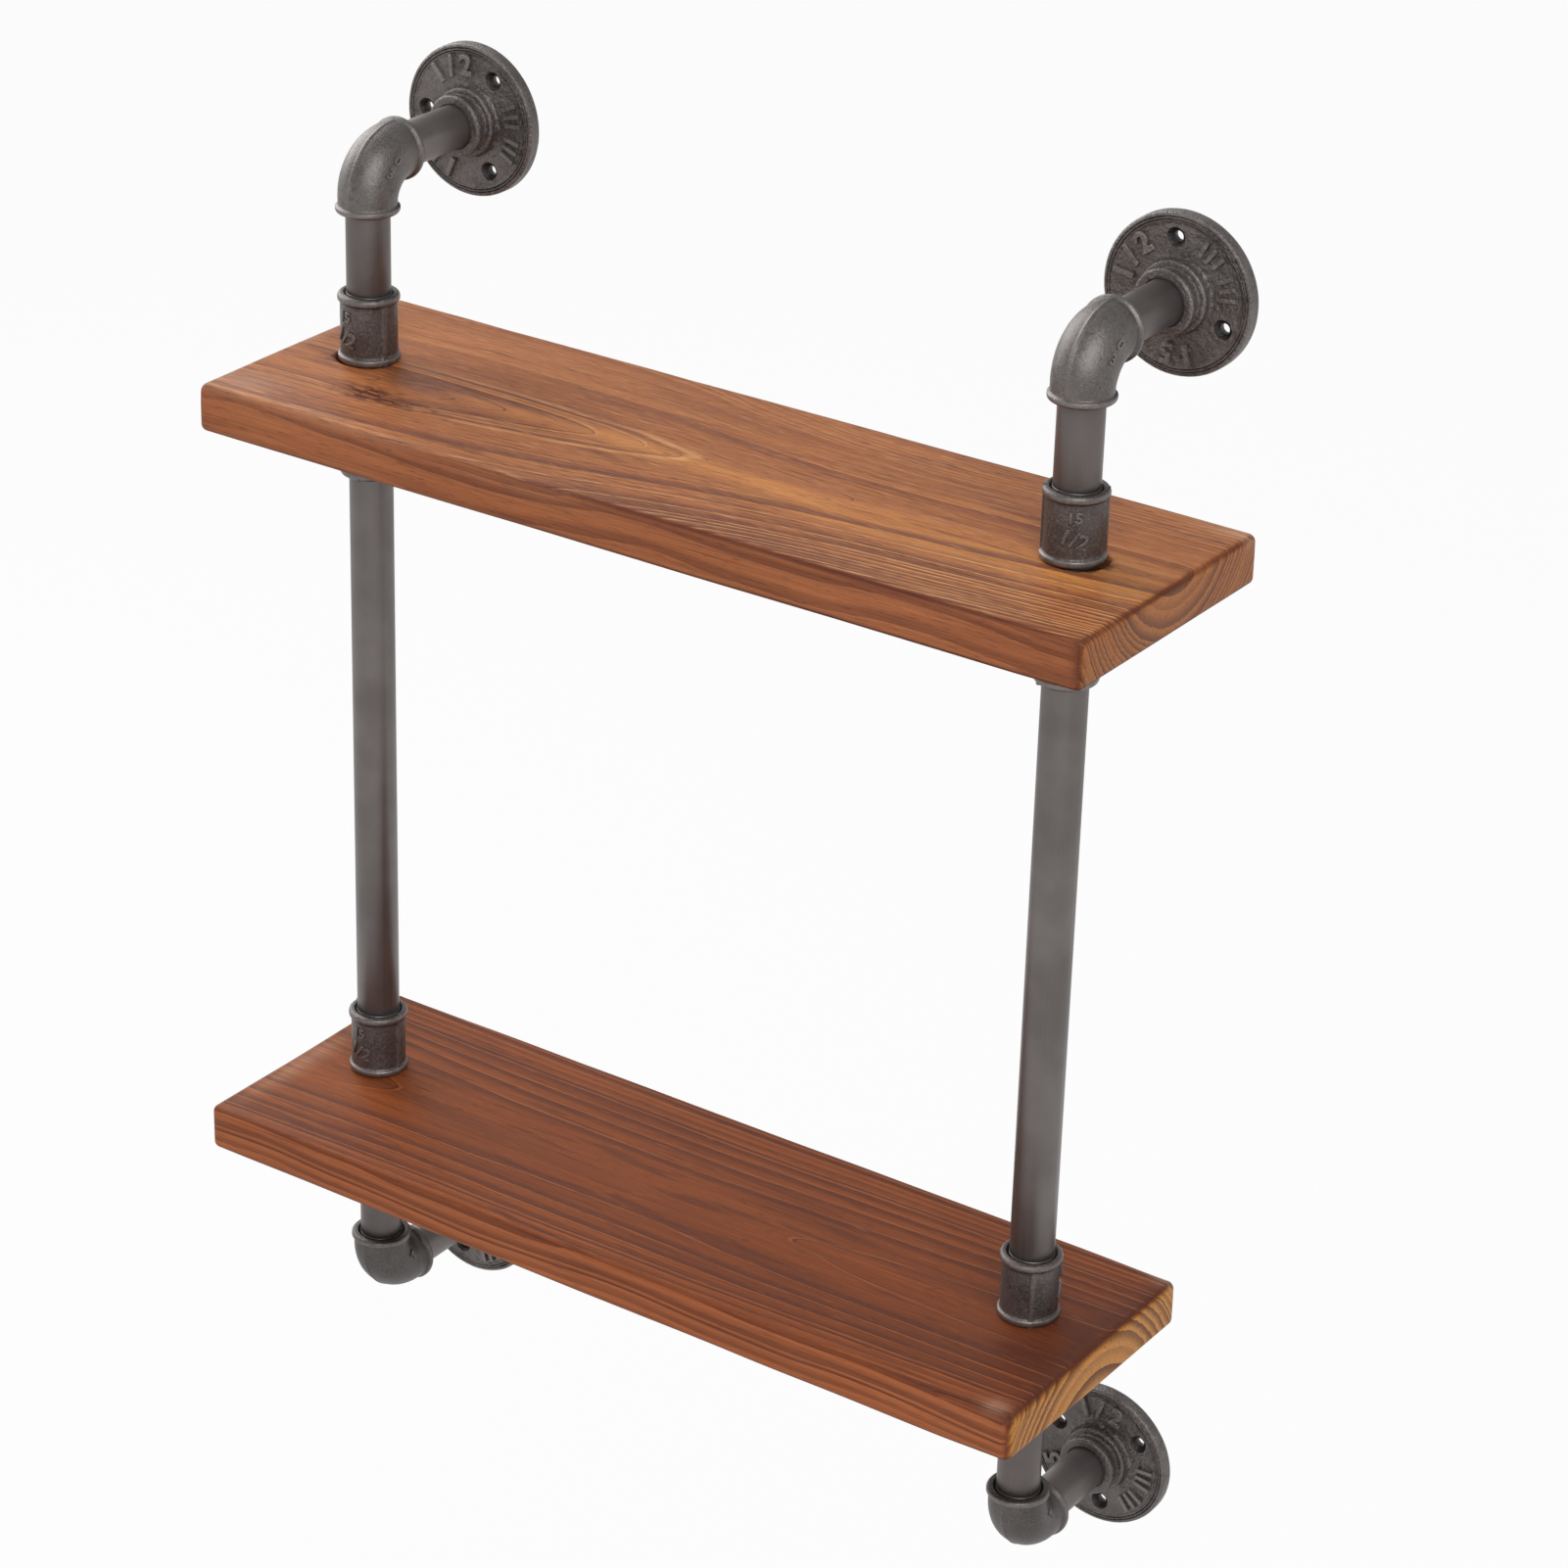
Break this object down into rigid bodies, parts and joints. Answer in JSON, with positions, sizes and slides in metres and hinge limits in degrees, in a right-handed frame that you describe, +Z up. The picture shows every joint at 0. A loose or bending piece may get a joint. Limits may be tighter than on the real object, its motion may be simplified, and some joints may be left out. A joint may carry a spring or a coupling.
{
  "type": "wall-mounted pipe shelf",
  "caption": "Wall-mounted shelf of stained wood boards clamped between couplings on dark threaded pipe uprights, with elbows and round wall flanges.",
  "frame": {"origin": "on the wall plane, midway between the four wall flanges, left to right and top to bottom", "axes": "+Z up, +Y into the wall, +X to the right as the shelf is seen from the front"},
  "size_m": [0.484, 0.167, 0.681],
  "materials": {
    "stained_wood": "red-brown stained softwood, satin",
    "pipe_steel": "dark grey satin coating",
    "cast_fitting": "dark grey coated casting with a fine sand grain"
  },
  "bodies": {
    "root": {"upper_shelf": "stained_wood", "lower_shelf": "stained_wood", "main_pipe_left": "pipe_steel", "upper_wall_nipple_left": "pipe_steel", "upper_drop_nipple_left": "pipe_steel", "upper_shelf_nipple_left": "pipe_steel", "lower_wall_nipple_left": "pipe_steel", "lower_drop_nipple_left": "pipe_steel", "lower_shelf_nipple_left": "pipe_steel", "main_pipe_right": "pipe_steel", "upper_wall_nipple_right": "pipe_steel", "upper_drop_nipple_right": "pipe_steel", "upper_shelf_nipple_right": "pipe_steel", "lower_wall_nipple_right": "pipe_steel", "lower_drop_nipple_right": "pipe_steel", "lower_shelf_nipple_right": "pipe_steel", "upper_flange_left": "cast_fitting", "upper_elbow_left": "cast_fitting", "upper_shelf_top_coupling_left": "cast_fitting", "upper_shelf_under_coupling_left": "cast_fitting", "lower_flange_left": "cast_fitting", "lower_elbow_left": "cast_fitting", "lower_shelf_top_coupling_left": "cast_fitting", "lower_shelf_under_coupling_left": "cast_fitting", "upper_flange_right": "cast_fitting", "upper_elbow_right": "cast_fitting", "upper_shelf_top_coupling_right": "cast_fitting", "upper_shelf_under_coupling_right": "cast_fitting", "lower_flange_right": "cast_fitting", "lower_elbow_right": "cast_fitting", "lower_shelf_top_coupling_right": "cast_fitting", "lower_shelf_under_coupling_right": "cast_fitting"}
  },
  "joints": []
}
